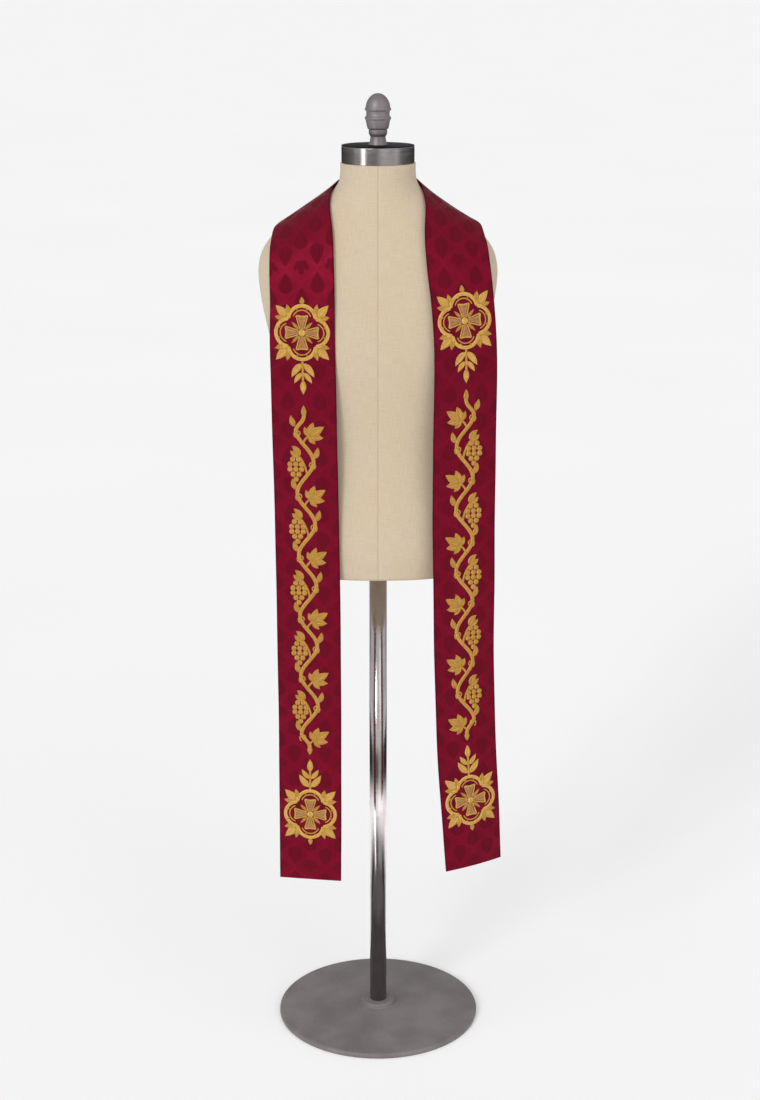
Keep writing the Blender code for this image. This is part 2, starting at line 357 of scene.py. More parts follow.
def damask_material(name, start):
    """Crimson satin ground with dull, dark drops and fans woven in, between brighter straps.

    The repeat starts that far up from the hem. Drops point up and down beside the
    band's middle; on it, each crossing has a drop below it and a fan above.
    """
    shader = Shader(name, Specular_IOR_Level=0.12)
    shader.surface.inputs["Specular Tint"].default_value = srgb(190, 50, 80)
    vector, across, along, _ = shader.weave()
    along = shader.less(along, start)
    wide, tall = DAMASK_REPEAT
    x, y = from_crossing(shader, shader.sum("ADD", across, wide / 2), along)
    figure, strap = drop_figure(shader, x, shader.sum("ABSOLUTE", y)), straps(shader, x, along)
    x, y = from_crossing(shader, across, shader.sum("ADD", along, tall / 4))
    figure = shader.sum("MAXIMUM", figure, drop_figure(shader, x, shader.times(y, -1.0)))
    fan = fan_figure(shader, x, shader.less(tall / 2, y))
    figure = shader.sum("MAXIMUM", figure, shader.times(fan, 0.8))
    slubs = shader.streaks(vector, (60.0, 1500.0, 1.0))
    cloudy = shader.noise(vector, 22.0, 3.0)
    ground = shader.mix(slubs, srgb(103, 15, 33), srgb(120, 20, 41))
    dark = shader.mix(slubs, srgb(88, 14, 28), srgb(104, 18, 36))
    bright = shader.mix(slubs, srgb(108, 15, 36), srgb(125, 20, 45))
    colour = shader.mix(figure, shader.mix(strap, ground, bright), dark)
    worn = shader.times(shader.step(cloudy, 0.35, 0.75), 0.22)
    colour = shader.mix(worn, colour, srgb(84, 6, 24))
    # painted shade: the last 4 mm of each long edge made darker, where the cloth turns away from
    # the light
    edge = shader.step(shader.sum("ABSOLUTE", across), BAND_WIDTH / 2 - 0.0040, BAND_WIDTH / 2)
    colour = shader.mix(shader.times(edge, 0.6), colour, srgb(58, 6, 22))
    weft = shader.times(shader.threads(along, DAMASK_WEFT), 0.8)
    rib = shader.sum("MAXIMUM", shader.threads(across, DAMASK_WARP), weft)
    bump = shader.bump(shader.line(figure, -0.9, rib), 0.00006)
    rough = shader.line(strap, -0.05, shader.line(figure, 0.28, 0.40))
    lustre = shader.line(figure, -0.3, 0.32)
    normal = shader.bump(cloudy, 0.0009, bump)
    return shader.finish(Base_Color=colour, Metallic=lustre, Roughness=rough, Normal=normal)


TWILL_PITCH = 0.0011
SLIP_STITCH_PITCH = 0.0080
SLIP_STITCH_INSET = 0.0016


def slip_stitches(shader, inside, along):
    """A row of short stitches, just inside the lining's folded edge."""
    off = shader.sum("ABSOLUTE", shader.less(inside, SLIP_STITCH_INSET))
    row = shader.inverse(shader.step(off, 0.0004, 0.0008))
    stitch = shader.step(shader.threads(along, SLIP_STITCH_PITCH), 0.60, 0.75)
    return shader.times(row, stitch)


def lining_material():
    """Plain crimson twill, slip-stitched down along its folded edges."""
    shader = Shader("crimson_lining", Specular_IOR_Level=0.2, Sheen_Weight=0.04)
    shader.surface.inputs["Specular Tint"].default_value = srgb(255, 90, 120)
    vector, _, up, across = shader.weave()
    twill = shader.threads(shader.sum("ADD", across, up), TWILL_PITCH)
    slubs = shader.streaks(vector, (0.0, 70.0, 900.0))
    colour = shader.mix(slubs, srgb(92, 8, 26), srgb(122, 16, 38))
    edge = (BAND_WIDTH - BAND_WALL) / 2 - TURNING
    inside = shader.less(edge, shader.sum("ABSOLUTE", across))
    stitches = slip_stitches(shader, inside, up)
    over_hem = slip_stitches(shader, shader.less(up, TURNING + ROW_STEP), across)
    stitches = shader.sum("MAXIMUM", stitches, over_hem)
    colour = shader.mix(stitches, colour, srgb(156, 44, 66))
    # painted shade: a dark line just inside the lining's folded edges and its fold over the hem
    from_fold = shader.sum("MINIMUM", inside, shader.less(up, TURNING))
    colour = shader.mix(shader.step(from_fold, 0.0, 0.0012), srgb(52, 4, 16), colour)
    pulled = shader.line(stitches, -3.0, slubs)
    height = shader.line(twill, 0.5, pulled)
    rough = shader.step(slubs, -1.2, 1.8)  # about 0.45 to 0.75
    return shader.finish(Base_Color=colour, Roughness=rough, Normal=shader.bump(height, 0.00008))


SATIN_PITCH = 0.00055  # between the stitches' threads


def thread_material(name, core, rim, shade):
    """Satin stitch: fine threads laid across each stroke, paler with a painted sheen where they
    turn down.
    """
    shader = Shader(name, Metallic=0.25, Specular_IOR_Level=0.4, Sheen_Weight=0.05, Anisotropic=0.4)
    _, along, across, number = shader.weave()
    thread = shader.threads(along, SATIN_PITCH)
    bundle = shader.streaks(shader.joined(along, number, number), (900.0, 40.0, 40.0))
    patch = shader.streaks(shader.joined(along, across, number), (60.0, 1.5, 30.0), 1.0)
    # painted sheen: the paler rim colour, in patches, toward a stroke's edges and a leaf's vein,
    # where the threads turn down
    patchy_rim_sheen = shader.line(patch, 0.5, shader.sum("ADD", across, -0.25))
    colour = shader.mix(shader.step(patchy_rim_sheen, 0.15, 0.75), core, rim)
    dull = shader.times(shader.step(bundle, 0.35, 0.75), 0.40)
    # painted shade in the grooves between the threads
    between = shader.times(shader.inverse(thread), 0.25)
    # painted shade along each stroke's sunk edges and down a leaf's vein
    painted_edge_shade = shader.times(shader.step(across, 0.78, 1.0), 0.85)
    for share in (dull, between, painted_edge_shade):
        colour = shader.mix(share, colour, shade)
    bump = shader.bump(thread, 0.00016, shader.bump(bundle, 0.00025))
    rough = shader.line(bundle, 0.2, 0.32)
    return shader.finish(Base_Color=colour, Roughness=rough, Normal=bump)


LINEN_PITCH = 0.0012


def linen_material():
    """Unbleached plain-weave linen, with the cover's seams down its middle, front and back."""
    shader = Shader("cream_linen", Specular_IOR_Level=0.2, Sheen_Weight=0.15)
    vector, around, up, middle = shader.weave()
    warp = shader.threads(around, LINEN_PITCH)
    weft = shader.threads(up, LINEN_PITCH)
    long_slubs = shader.streaks(vector, (900.0, 45.0, 1.0))
    cross_slubs = shader.streaks(vector, (45.0, 900.0, 1.0))
    slubs = shader.line(long_slubs, 0.5, shader.times(cross_slubs, 0.5))
    tint = shader.noise(vector, 9.0, 3.0)
    colour = shader.mix(slubs, srgb(168, 151, 126), srgb(219, 204, 181))
    aged = shader.mix(0.25, colour, srgb(196, 168, 130))
    colour = shader.mix(shader.step(tint, 0.3, 0.8), colour, aged)
    from_seam = shader.sum("ABSOLUTE", middle)
    seam = shader.inverse(shader.step(from_seam, 0.0003, 0.0011))
    colour = shader.mix(shader.times(seam, 0.35), colour, srgb(140, 118, 88))
    height = shader.line(warp, 0.3, shader.times(weft, 0.3))
    height = shader.sum("ADD", height, slubs)
    bump = shader.bump(shader.step(from_seam, 0.0, 0.004), 0.0005, shader.bump(height, 0.00025))
    rough = shader.step(slubs, -2.4, 1.0)  # about 0.85 to 1
    return shader.finish(Base_Color=colour, Roughness=rough, Normal=bump)


def steel_material():
    """Sheet steel, brushed round the form."""
    shader = Shader("brushed_steel", Metallic=1.0, Anisotropic=0.35)
    vector = shader.place()
    brushed = shader.streaks(vector, (14.0, 14.0, 2600.0), 4.0)
    clouds = shader.noise(vector, 30.0, 3.0)
    colour = shader.mix(brushed, srgb(168, 160, 160), srgb(212, 206, 206))
    tarnished = shader.mix(0.3, colour, srgb(128, 120, 118))
    colour = shader.mix(shader.step(clouds, 0.4, 0.8), colour, tarnished)
    rough = shader.line(brushed, 0.12, 0.14)
    return shader.finish(Base_Color=colour, Roughness=rough, Normal=shader.bump(brushed, 0.00003))


def paint_material(name, dark, light, grain, depth, gloss, flake):
    """Paint over a cast or turned surface, a little worn; flake is its metallic share."""
    shader = Shader(name, Specular_IOR_Level=gloss, Metallic=flake)
    vector = shader.place()
    fine = shader.noise(vector, grain, 4.0)
    clouds = shader.noise(vector, 14.0, 4.0)
    streaks = shader.streaks(vector, (220.0, 220.0, 9.0))
    tone = shader.line(streaks, 0.2, shader.times(clouds, 0.8))
    colour = shader.mix(shader.step(tone, 0.3, 0.7), dark, light)
    colour = shader.mix(shader.times(fine, 0.25), colour, dark)
    rough = shader.line(clouds, 0.25, 0.36)
    return shader.finish(Base_Color=colour, Roughness=rough, Normal=shader.bump(fine, depth))


def floor_material():
    """Plain and pale, with a faint glow of its own, so that it stays near white."""
    shader = Shader("pale_floor", Roughness=0.9, Specular_IOR_Level=0.1, Emission_Strength=0.09)
    vector = shader.place()
    tint = shader.mix(shader.noise(vector, 0.6), srgb(243, 243, 244), srgb(248, 248, 249))
    return shader.finish(Base_Color=tint)


# ---- the stole's cloth ----

ROW_STEP = 0.003  # between rows along a band
FACE_COLUMNS = 44
EDGE_COLUMNS = 6  # round each folded edge
TURNING_COLUMNS = 4  # each side of the lining
LINING_COLUMNS = 10  # each side of the middle
MIDDLE_GAP = 0.0001  # between the back's two middle columns, where the distance round changes sign
TURNING = 0.009  # of the face cloth shows behind each edge, before the lining
NEAR = 0.0001  # counts as the same place
HEM_ROWS = 5  # round the hem's fold
HEM_TURN = 0.42 * math.pi  # how far the cloth's two sides turn toward it

# Soft creases: distance up from the hem, across from the middle away from the
# neck, turn from level in degrees, half length, half width and height in millimetres.
LEFT_CREASES = (
    (1.205, 0.020, 38, 0.040, 0.008, 0.9),
    (1.165, -0.022, 30, 0.034, 0.007, 0.7),
    (1.290, -0.010, -34, 0.045, 0.009, 0.8),
    (0.925, 0.030, 12, 0.036, 0.010, -0.5),
    (0.560, -0.034, -16, 0.030, 0.009, -0.5),
    (0.300, 0.028, 20, 0.034, 0.011, -0.6),
    (0.052, -0.020, 8, 0.040, 0.010, 0.5),
)
RIGHT_CREASES = (
    (1.190, 0.018, 40, 0.044, 0.009, 0.9),
    (1.140, -0.026, 26, 0.030, 0.007, 0.6),
    (1.275, -0.014, -30, 0.042, 0.008, 0.8),
    (0.880, -0.032, -14, 0.032, 0.009, -0.5),
    (0.500, 0.034, 18, 0.034, 0.010, -0.6),
    (0.250, -0.030, -22, 0.030, 0.010, -0.5),
    (0.045, 0.024, -10, 0.038, 0.010, 0.5),
)

# Slow waves where a band hangs free: height, power of the distance across,
# length, and share of the band's phase.
WAVES = (
    (0.0011, 1, 0.46, 1.0),
    (0.0008, 2, 0.21, 2.1),
    (0.0005, 0, 0.33, 0.7),
)
WAVES_FROM = (0.42, 0.70)  # along a band, where they start and are full


class Band:
    """A band's middle line and the cloth over it."""

    def __init__(self, rows, side, creases, phase):
        self.side = side
        self.creases = creases
        self.phase = phase
        table = np.array(rows, float)
        self.columns = table.T
        steps = np.linalg.norm(np.diff(table[:, :3], axis=0), axis=1)
        self.run = np.concatenate([[0.0], np.cumsum(steps)])
        self.length = self.run[-1]

    def middle(self, along):
        out, y, z = (smooth(self.run, column, along) for column in self.columns[:3])
        return vectors(self.side * out, y, z)

    def place(self, across, along, height):
        """Points a height over the band's underside."""
        ahead = unit(self.middle(along + LOOK_ALONG) - self.middle(along - LOOK_ALONG))
        heading, tilt = (np.radians(smooth(self.run, turns, along)) for turns in self.columns[3:5])
        level = np.cos(tilt)
        out = self.side * np.sin(heading) * level
        facing = vectors(out, -np.cos(heading) * level, np.sin(tilt))
        aside = unit(np.cross(facing, ahead)) * self.side
        outward = np.cross(ahead, aside) * self.side
        bow = smooth(self.run, self.columns[5], along) / 1000 * (1 - (2 * across / BAND_WIDTH) ** 2)
        return self.middle(along) + aside * across[..., None] + outward * (bow + height)[..., None]

    def sway(self, across, along):
        """How far the whole cloth stands off its middle line's plane: waves and creases."""
        up = self.length - along
        free = eased(along, *WAVES_FROM)
        part = 2 * across / BAND_WIDTH
        waves = sum(
            height * part**power * np.sin(math.tau * along / length + share * self.phase)
            for height, power, length, share in WAVES
        )
        sway = free * waves
        for centre, aside, turn, half_length, half_width, height in self.creases:
            angle = math.radians(turn)
            x, y = across - aside, up - centre
            run = x * math.cos(angle) + y * math.sin(angle)
            off = y * math.cos(angle) - x * math.sin(angle)
            fall = (run / half_length) ** 2 + (off / half_width) ** 2
            sway = sway + height / 1000 * np.exp(-fall)
        return sway

    def finished_length(self):
        """From the seam behind the neck to the hem."""
        start = self.run[:3]
        seam = np.interp(SEAM_X * self.side, self.middle(start)[:, 0] * self.side, start)
        return self.length - seam


def cloth_section():
    """The closed section: across, height in walls, and distance round from the face's middle."""
    radius = BAND_WALL / 2
    flat = BAND_WIDTH / 2 - radius
    turns = np.linspace(0, math.pi, EDGE_COLUMNS + 1)[1:-1]
    face = np.linspace(-flat, flat, FACE_COLUMNS + 1)
    lining = flat - TURNING
    turning = np.linspace(flat, lining, TURNING_COLUMNS + 1)[:-1]
    half_back = np.concatenate([turning, np.linspace(lining, MIDDLE_GAP / 2, LINING_COLUMNS + 1)])
    back = np.concatenate([half_back, -half_back[::-1]])
    far_edge = flat + radius * np.sin(turns)
    across = np.concatenate([face, far_edge, back, -far_edge])
    edge_height = 0.5 + 0.5 * np.cos(turns)
    heights = np.ones_like(face), edge_height, np.zeros_like(back), edge_height[::-1]
    height = np.concatenate(heights)
    behind = np.where(back > 0, 1, -1) * (flat + radius * math.pi + flat - np.abs(back))
    round_it = np.concatenate([face, flat + radius * turns, behind, -(flat + radius * turns)[::-1]])
    return across, height, round_it


def make_cloth(name, band, damask, lining):
    """A band's face cloth, turned behind its edges and hem, and its lining, as one closed shell."""
    across, height, round_it = cloth_section()
    rows = int(band.length / ROW_STEP)
    radius = BAND_WALL / 2
    along = np.linspace(0, band.length - radius, rows)
    thickness = np.ones(rows)
    turns = np.linspace(0, HEM_TURN, HEM_ROWS + 1)[1:]
    along = np.concatenate([along, band.length - radius + radius * np.sin(turns)])
    thickness = np.concatenate([thickness, np.cos(turns)])
    s, t = np.meshgrid(across, along)
    walls = 0.5 + (height[None, :] - 0.5) * thickness[:, None]
    points = band.place(s, t, walls * BAND_WALL + band.sway(s, t))
    weave = vectors(np.broadcast_to(round_it, s.shape), band.length - t, s)
    count = len(across)
    faces = grid_faces(len(along), count, closed=True)
    if band.side > 0:
        faces = [face[::-1] for face in faces]
    lined = (height < NEAR) & (np.abs(across) < BAND_WIDTH / 2 - radius - TURNING + NEAR)
    over_hem = along < band.length - TURNING
    slots = [
        int(over_hem[i + 1] and lined[j] and lined[(j + 1) % count])
        for i in range(len(along) - 1)
        for j in range(count)
    ]
    cloth = new_piece(name, points, faces, (damask, lining), slots, weave)
    mitre(cloth, band.side)
    return cloth


def mitre(cloth, side):
    """Cuts off what lies past the seam behind the neck, and closes both of the cloth's ends."""
    bm = bmesh.new()
    bm.from_mesh(cloth.data)
    bmesh.ops.bisect_plane(
        bm,
        geom=list(bm.verts) + list(bm.edges) + list(bm.faces),
        plane_co=(SEAM_X + side * SEAM_GAP / 2, 0, 0),
        plane_no=(-side, 0, 0),
        clear_outer=True,
        dist=0.000001,
    )
    bmesh.ops.holes_fill(bm, edges=[edge for edge in bm.edges if edge.is_boundary])
    bmesh.ops.recalc_face_normals(bm, faces=bm.faces)
    bm.to_mesh(cloth.data)
    bm.free()


# ---- the embroidery ----

STITCH_STEP = 0.0008  # between a stroke's rows of points
STITCH_COLUMNS = 8
BENT_STEPS = 24
CURL_STEPS = 59
SUNK = 0.0004  # how deep a stroke's edges are drawn into the cloth
GOLDEN = 0.618  # spreads the noise from stroke to stroke
UNEVEN_EDGE = 0.05  # of a stroke's half width
UNEVEN_RISE = 0.08  # of its height
SLANT, LEAF_SLANT = 0.15, -0.8  # of the threads, from a stroke's middle to its edge
GOLD, PALE_GOLD, BRONZE = range(3)


def polar(radius, degrees):
    angle = math.radians(degrees)
    return np.array([radius * math.cos(angle), radius * math.sin(angle)])


def arc(centre, radius, start, end):
    """Points on a circle, from start to end degrees."""
    angles = np.radians(np.linspace(start, end, max(4, int(abs(end - start) / 6) + 1)))
    return np.array(centre) + radius * ways(angles)


def bent(start, degrees, length, bend):
    """Points on a line that sets off at an angle and turns by bend degrees over its length."""
    angles = np.radians(degrees + bend * np.linspace(0, 1, BENT_STEPS + 1))
    steps = ways(angles) * length / BENT_STEPS
    return np.array(start) + np.concatenate([[(0, 0)], np.cumsum(steps[1:], axis=0)])


def new_stroke(form, path, half, rise, slot):
    return {"form": form, "path": np.array(path, float), "half": half, "rise": rise, "slot": slot}


def leaf(start, degrees, length, half, bend=0, slot=GOLD):
    """A pointed leaf, stitched from its vein out to both edges."""
    return new_stroke("leaf", bent(start, degrees, length, bend), half, 0.0018, slot)


def cord(path, half, rise=0.0017, slot=GOLD):
    """A line of satin stitch with rounded ends."""
    return new_stroke("cord", path, half, rise, slot)


def wedge(start, degrees, length, near, far, slot):
    """A stroke that widens from near to far half widths and ends square."""
    return new_stroke("wedge", bent(start, degrees, length, 0), (near, far), 0.0012, slot)


def berry(centre, radius, slot=GOLD):
    """A round knob, stitched straight across."""
    centre = np.array(centre, float)
    return new_stroke("berry", [centre - (0, radius), centre + (0, radius)], radius, 0.0022, slot)


def curl(start, degrees, radius, turns, hand, half):
    """A tendril that winds in on itself, to the left for hand 1."""
    at = np.linspace(0, 1, CURL_STEPS + 1)
    angles = np.radians(degrees) + hand * at * turns * math.tau
    pace = radius * turns * math.tau / CURL_STEPS * (1 - 0.82 * at)
    steps = ways(angles) * pace[:, None]
    return cord(np.array(start) + np.cumsum(steps, axis=0), half, rise=0.0010)


def scaled(stroke, size):
    return {**stroke, "path": stroke["path"] * size, "half": np.multiply(stroke["half"], size)}


MOTIF_SIZE = 1.2  # all that follows is for a motif of size 1
LOBE_CENTRE = 0.0185  # out from the motif's middle
LOBE_RADIUS = 0.0195
CROSS_TIP = 0.0240
CROSS_HALF = 0.0086
CORNER_ROOT = 0.0285
SPIRE_LEAVES = ((0.0445, 0.0250), (0.0580, 0.0190))  # height, reach


def end_motif():
    """A flared cross in a four-lobed ring, with leaves at its corners and a leafy spire."""
    strokes = []
    cusp = math.degrees(math.asin(LOBE_CENTRE / LOBE_RADIUS * math.sin(math.pi / 4)))
    sweep = 45 + cusp
    for turn in (0, 90, 180, 270):
        centre = polar(LOBE_CENTRE, turn)
        lobe = arc(centre, LOBE_RADIUS, turn - sweep, turn + sweep)
        inner = arc(centre, LOBE_RADIUS - 0.0062, turn - 72, turn + 72)
        tip, side = polar(CROSS_TIP, turn), polar(CROSS_HALF, turn + 90)
        end = [tip - side, tip - polar(0.0012, turn), tip + side]
        strokes += [
            cord(lobe, 0.0028, slot=PALE_GOLD),
            cord(inner, 0.0010, rise=0.0008),
            wedge(polar(0.0045, turn), turn, 0.0195, 0.0024, 0.0082, BRONZE),
            cord(end, 0.0012, slot=PALE_GOLD),
        ]
        for hand in (-1, 1):
            near = polar(0.0050, turn) + polar(0.0030 * hand, turn + 90)
            strokes.append(cord([near, tip + side * hand], 0.0010, slot=PALE_GOLD))
            strokes.append(berry(polar(0.0335, turn) + polar(0.0075 * hand, turn + 90), 0.0018))
    strokes.append(berry((0, 0), 0.0052, PALE_GOLD))
    for turn in (45, 135, 225, 315):
        root = polar(CORNER_ROOT, turn)
        strokes += [
            leaf(polar(0.0060, turn), turn, 0.0155, 0.0024),
            leaf(root, turn, 0.0260, 0.0064, slot=PALE_GOLD),
            leaf(root, turn + 50, 0.0200, 0.0050, -22),
            leaf(root, turn - 50, 0.0200, 0.0050, 22),
        ]
    strokes.append(cord([(0, 0.0400), (0, 0.0720)], 0.0017))
    for height, reach in SPIRE_LEAVES:
        for hand in (-1, 1):
            root = (0.001 * hand, height)
            strokes.append(leaf(root, 90 - 52 * hand, reach, 0.20 * reach, 26 * hand, PALE_GOLD))
    strokes.append(leaf((0, 0.0690), 90, 0.0200, 0.0046, slot=PALE_GOLD))
    strokes.append(leaf((0, -0.0395), -90, 0.0110, 0.0038))
    return [scaled(stroke, MOTIF_SIZE) for stroke in strokes]


VINE_LENGTH = 0.618
VINE_BENDS = 11
VINE_SWING = 0.0150
STEM_HALF = 0.0036


def vine():
    """A waving stem with a five-part leaf or a bunch of berries in each bend."""
    up = np.linspace(0, VINE_LENGTH, 400)
    fade = eased(up, 0, 0.03) * eased(VINE_LENGTH - up, 0, 0.03)
    step = VINE_LENGTH / VINE_BENDS
    stem = vectors(VINE_SWING * np.sin(math.pi * up / step) * fade, up)
    strokes = [cord(stem, STEM_HALF)]
    strokes += [leaf(stem[-4], 90, 0.0200, 0.0050), leaf(stem[3], -90, 0.0160, 0.0050)]
    for k in range(VINE_BENDS):
        crest = (k + 0.5) * step
        hand = -1 if k % 2 == 0 else 1
        strokes += palm_spray(crest, hand) if k % 2 == 0 else berry_spray(crest, hand)
        root = (-hand * (VINE_SWING + 0.0015), crest + 0.006)
        strokes.append(leaf(root, 90 + hand * 36, 0.0210, 0.0052, -hand * 34))
        root = (-hand * (VINE_SWING - 0.001), crest - 0.014)
        strokes.append(curl(root, 90 + hand * 62, 0.0074, 1.2, -hand, 0.0013))
    return strokes


PALM_PARTS = (  # turn from the leaf's own aim, length, half width
    (0, 0.0310, 0.0080),
    (46, 0.0250, 0.0068),
    (-46, 0.0250, 0.0068),
    (98, 0.0180, 0.0054),
    (-98, 0.0180, 0.0054),
)


def palm_spray(crest, hand):
    """A short stalk and a leaf of five parts, in a bend of the vine."""
    stalk = bent((-hand * 0.003, crest - 0.026), 90 - hand * 10, 0.020, -hand * 50)
    strokes = [cord(stalk, 0.0020)]
    aim = 90 - hand * 58
    for turn, reach, half in PALM_PARTS:
        strokes.append(leaf(stalk[-1], aim + turn, reach, half, -0.25 * turn))
    return strokes


BERRY_HALF = 0.0050
BERRY_ROWS = (2, 3, 3, 2, 1)


def berry_spray(crest, hand):
    """A stalk that carries a hanging bunch of berries under two leaves."""
    stalk = bent((-hand * 0.003, crest - 0.024), 90 - hand * 4, 0.036, -hand * 34)
    strokes = [cord(stalk, 0.0020)]
    end = stalk[-1]
    for row, count in enumerate(BERRY_ROWS):
        for k in range(count):
            x = hand * 0.0165 + (k - (count - 1) / 2) * BERRY_HALF * 2.04
            strokes.append(berry((x, crest + 0.004 - row * BERRY_HALF * 1.78), BERRY_HALF))
    strokes.append(leaf(end, 90 - hand * 8, 0.0230, 0.0062, -hand * 50))
    strokes.append(leaf(end, 90 - hand * 74, 0.0190, 0.0054, hand * 34))
    return strokes


def stroke_outline(stroke):
    """A stroke's line at even steps, its distances, directions and half widths."""
    path = stroke["path"]
    steps = np.linalg.norm(np.diff(path, axis=0), axis=1)
    run = np.concatenate([[0.0], np.cumsum(steps)])
    count = max(6, int(run[-1] / STITCH_STEP))
    at = np.linspace(0, run[-1], count)
    line = vectors(np.interp(at, run, path[:, 0]), np.interp(at, run, path[:, 1]))
    ahead = unit(np.gradient(line, axis=0))
    share = at / run[-1]
    half = stroke["half"]
    if stroke["form"] == "leaf":
        swell = np.sin(math.pi * share**0.8) ** 0.85
        return line, at, ahead, half * np.maximum(swell, 0.04), np.maximum(swell, 0.1) ** 0.6
    if stroke["form"] == "berry":
        swell = np.sqrt(np.clip(1 - (2 * share - 1) ** 2, 0.01, 1))
        return line, at, ahead, half * swell, swell
    if stroke["form"] == "wedge":
        return line, at, ahead, half[0] + (half[1] - half[0]) * share**1.6, np.ones(count)
    end = np.clip(np.minimum(at, run[-1] - at) / half, 0, 1)
    rounded = np.sqrt(np.clip(1 - (1 - end) ** 2, 0.02, 1))
    return line, at, ahead, half * rounded, rounded


class Embroidery:
    """Stitched strokes, gathered into one mesh that lies on a band's cloth."""

    def __init__(self, band):
        self.band = band
        self.random = np.random.default_rng(11)
        self.points, self.faces, self.weave, self.slots = [], [], [], []
        self.count = 0
        self.number = 0

    def work(self, strokes, up, turn=1, mirror=1):
        """Works strokes round an origin up from the hem; turn -1 sets them upside down."""
        for stroke in strokes:
            self.stitch(stroke, up, turn, turn * mirror)

    def stitch(self, stroke, up, turn, flip):
        line, at, ahead, half, swell = stroke_outline(stroke)
        leafy = stroke["form"] == "leaf"
        q = np.linspace(-1, 1, STITCH_COLUMNS + 1)
        if leafy:
            profile = np.abs(np.sin(math.pi * q)) ** 0.7 + 0.25 * (q == 0)
        else:
            q = np.sin(q * math.pi / 2)
            profile = np.sqrt(1 - q * q)
        half = half * (1 + UNEVEN_EDGE * self.random.uniform(-1, 1, len(half)))
        aside = vectors(-ahead[:, 1], ahead[:, 0])
        flat = line[:, None, :] + aside[:, None, :] * (half[:, None] * q[None, :])[..., None]
        rise = stroke["rise"] * swell * (1 + UNEVEN_RISE * self.random.uniform(-1, 1, len(half)))
        height = rise[:, None] * profile[None, :]
        height = height - SUNK * (np.abs(q) > 0.999)[None, :]
        across = self.band.side * flip * flat[..., 0]
        along = self.band.length - up - turn * flat[..., 1]
        lift = BAND_WALL + self.band.sway(across, along) + height
        points = self.band.place(across, along, lift)
        slant = LEAF_SLANT if leafy else SLANT
        along_thread = at[:, None] + slant * half[:, None] * (np.abs(q) if leafy else q)[None, :]
        crown = np.abs(np.abs(q) * 2 - 1) if leafy else np.abs(q)
        number = np.full(flat.shape[:2], (self.number * GOLDEN) % 1 * 7)
        weave = vectors(along_thread, np.broadcast_to(crown, number.shape), number)
        faces = grid_faces(len(line), len(q), start=self.count)
        if turn * flip < 0:
            self.faces += faces
        else:
            self.faces += [face[::-1] for face in faces]
        self.points.append(points.reshape(-1, 3))
        self.weave.append(weave.reshape(-1, 3))
        self.slots += [stroke["slot"]] * len(faces)
        self.count += flat.shape[0] * flat.shape[1]
        self.number += 1

    def finish(self, name, materials):
        points, weave = np.concatenate(self.points), np.concatenate(self.weave)
        return new_piece(name, points, self.faces, materials, self.slots, weave)


LOWER_MOTIF = 0.130  # each motif's middle, up from the hem
VINE_FOOT = 0.257


def make_embroidery(name, band, upper_motif, materials):
    work = Embroidery(band)
    work.work(end_motif(), LOWER_MOTIF)
    work.work(vine(), VINE_FOOT, mirror=band.side)
    work.work(end_motif(), upper_motif, turn=-1)
    return work.finish(name, materials)


# ---- the form ----

TORSO_ROWS = 190
TORSO_AROUND = 180
TORSO_ROUNDING = 0.006  # round its lower edge
LEAST_RADIUS = 0.00002  # of the rings at a turned piece's two ends


def make_torso_cover(material):
    """The torso's padded linen cover, turned under round its foot."""
    columns = np.array(TORSO_SECTIONS).T
    low, high = columns[0][0], NECK_TOP
    turns = np.linspace(-math.pi / 2, 0, 7)
    foot = low + TORSO_ROUNDING * (1 + np.sin(turns))
    heights = np.concatenate([foot, np.linspace(foot[-1], high, TORSO_ROWS)[1:]])
    inset = np.concatenate([TORSO_ROUNDING * (1 - np.cos(turns)), np.zeros(TORSO_ROWS - 1)])
    half, front, back, square = (smooth(columns[0], column, heights) for column in columns[1:])
    angles = np.linspace(-1.5 * math.pi, 0.5 * math.pi, TORSO_AROUND + 1)
    across, deep = np.cos(angles)[None, :], np.sin(angles)[None, :]
    power = 2 / square[:, None]
    x = np.sign(across) * (half - inset)[:, None] * np.abs(across) ** power
    depth = np.where(deep > 0, (back - inset)[:, None], (front - inset)[:, None])
    y = np.sign(deep) * depth * np.abs(deep) ** power
    z = np.broadcast_to(heights[:, None], x.shape)
    points = vectors(x, y, z)
    steps = np.linalg.norm(np.diff(points, axis=1), axis=2)
    around = np.concatenate([np.zeros((len(heights), 1)), np.cumsum(steps, axis=1)], axis=1)
    weave = vectors(around - around[:, -1:] / 2, z, x)
    faces = grid_faces(len(heights), TORSO_AROUND + 1)
    faces.append(tuple(range(TORSO_AROUND))[::-1])
    top = (len(heights) - 1) * (TORSO_AROUND + 1)
    faces.append(tuple(range(top, top + TORSO_AROUND)))
    return new_piece("torso_cover", points, faces, (material,), weave=weave)


def rounded(profile):
    """A profile with its corners cut finer and finer; its two ends stay."""
    points = [np.array(point, float) for point in profile]
    for _ in range(3):
        finer = [points[0]]
        for here, there in zip(points, points[1:]):
            finer += [here * 0.75 + there * 0.25, here * 0.25 + there * 0.75]
        points = finer + [points[-1]]
    return points


def turned(name, profile, material, around):
    """A turned piece; the profile of (radius, z) runs from top to bottom."""
    angles = np.linspace(0, math.tau, around, endpoint=False)
    radii, heights = np.array(profile, float).T
    radii = np.maximum(radii, LEAST_RADIUS)
    heights = np.broadcast_to(heights[:, None], (len(radii), around))
    radii = radii[:, None]
    points = vectors(radii * np.cos(angles), radii * np.sin(angles), heights)
    faces = [face[::-1] for face in grid_faces(len(radii), around, closed=True)]
    faces.append(tuple(range(around)))
    last = (len(radii) - 1) * around
    faces.append(tuple(range(last, last + around))[::-1])
    return new_piece(name, points, faces, (material,))


PLATE_WALL = 0.0014
CAP_CORNER = 0.0002
CAP_HOLD = 0.0005  # rows this far from a corner keep the wall between them straight
LID_INSET = 0.0001


